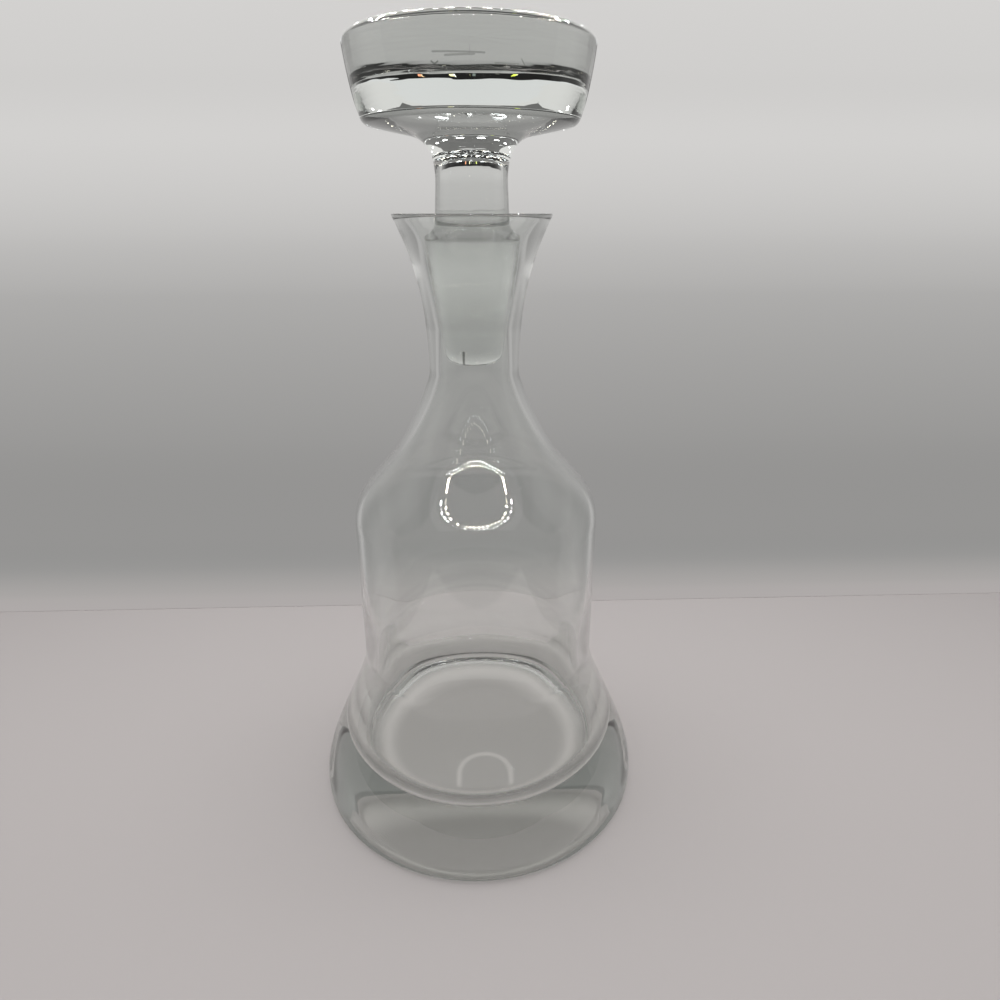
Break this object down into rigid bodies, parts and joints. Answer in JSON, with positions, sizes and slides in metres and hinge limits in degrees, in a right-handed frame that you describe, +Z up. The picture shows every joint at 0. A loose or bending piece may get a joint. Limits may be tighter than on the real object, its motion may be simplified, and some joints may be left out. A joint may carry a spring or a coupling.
{
  "type": "liquor decanter",
  "caption": "Clear glass liquor decanter with a flared heavy base, straight belly, flaring neck and a solid glass stopper with a wide disc head that lifts out.",
  "frame": {"origin": "middle of the base, level with the ring that the decanter stands on", "axes": "+Z up along the decanter's axis, from the base to the stopper; +X to the right and +Y away from the viewer, either way round because both pieces are round"},
  "size_m": [0.123, 0.123, 0.2553],
  "materials": {
    "decanter_glass": "clear blown glass, fire polished, ground inside the neck",
    "stopper_glass": "clear solid glass, polished head, finely ground plug"
  },
  "bodies": {
    "decanter": {"decanter": "decanter_glass"},
    "stopper": {"stopper": "stopper_glass"}
  },
  "joints": [
    {"name": "stopper_lift", "type": "slide", "parent": "decanter", "child": "stopper", "axis": [0, 0, 1], "range_m": [0, 0.06]}
  ]
}
